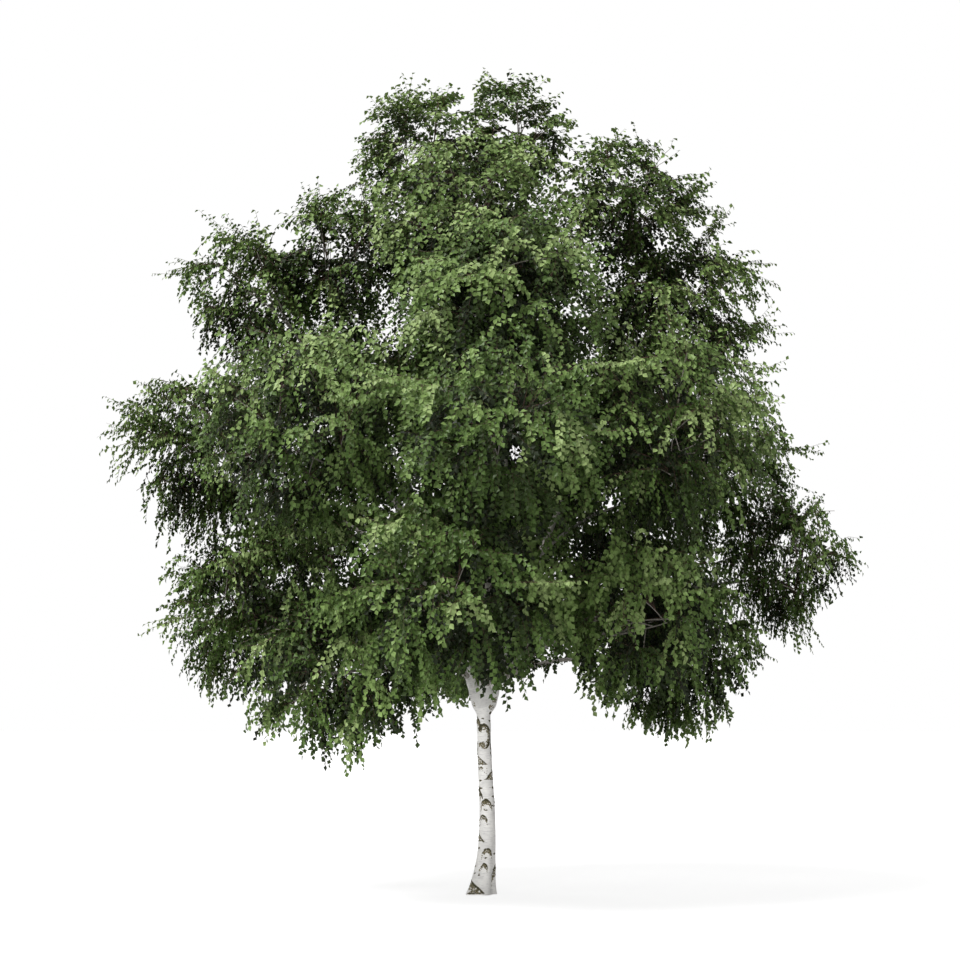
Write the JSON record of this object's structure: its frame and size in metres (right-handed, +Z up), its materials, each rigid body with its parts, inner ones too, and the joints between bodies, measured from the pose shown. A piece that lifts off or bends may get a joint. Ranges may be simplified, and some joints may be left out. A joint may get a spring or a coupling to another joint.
{
  "type": "birch tree",
  "caption": "Young broad birch in full leaf: a short white trunk forking low into rising leaders, with arching side boughs that each end in a mass of hanging leaves.",
  "frame": {"origin": "centre of the flat cut under the trunk, at ground level", "axes": "+Z up along the trunk; -Y towards the side the tree is mostly seen from; +X to the right of that view"},
  "size_m": [7.3693, 6.7891, 8.2536],
  "materials": {
    "bark": "smooth white bark with rough dark patches",
    "bough_bark": "grey-brown bark",
    "foliage": "satin green leaves"
  },
  "bodies": {
    "root": {"trunk": "bark", "leader_centre": "bark", "leader_left": "bark", "leader_right": "bark", "leader_front": "bark", "leader_back": "bark", "bough_high_left": "bough_bark", "bough_high_right": "bough_bark", "bough_high_front": "bough_bark", "bough_high_back": "bough_bark", "bough_shoulder_left": "bough_bark", "bough_mid_left": "bough_bark", "bough_low_left": "bough_bark", "bough_upper_left_back": "bough_bark", "bough_low_left_back": "bough_bark", "bough_low_left_front": "bough_bark", "bough_mid_right": "bough_bark", "bough_wide_right": "bough_bark", "bough_low_right": "bough_bark", "bough_upper_right_back": "bough_bark", "bough_low_right_back": "bough_bark", "bough_mid_front_left": "bough_bark", "bough_mid_front_right": "bough_bark", "bough_mid_front": "bough_bark", "bough_low_front": "bough_bark", "bough_low_front_right": "bough_bark", "bough_mid_back": "bough_bark", "bough_low_back": "bough_bark", "foliage_top": "foliage", "foliage_high_left": "foliage", "foliage_high_right": "foliage", "foliage_high_front": "foliage", "foliage_high_back": "foliage", "foliage_upper_left": "foliage", "foliage_shoulder_left": "foliage", "foliage_mid_left": "foliage", "foliage_low_left": "foliage", "foliage_upper_left_back": "foliage", "foliage_low_left_back": "foliage", "foliage_low_left_front": "foliage", "foliage_upper_right": "foliage", "foliage_mid_right": "foliage", "foliage_wide_right": "foliage", "foliage_low_right": "foliage", "foliage_upper_right_back": "foliage", "foliage_low_right_back": "foliage", "foliage_upper_front": "foliage", "foliage_mid_front_left": "foliage", "foliage_mid_front_right": "foliage", "foliage_mid_front": "foliage", "foliage_low_front": "foliage", "foliage_low_front_right": "foliage", "foliage_upper_back": "foliage", "foliage_mid_back": "foliage", "foliage_low_back": "foliage"}
  },
  "joints": []
}
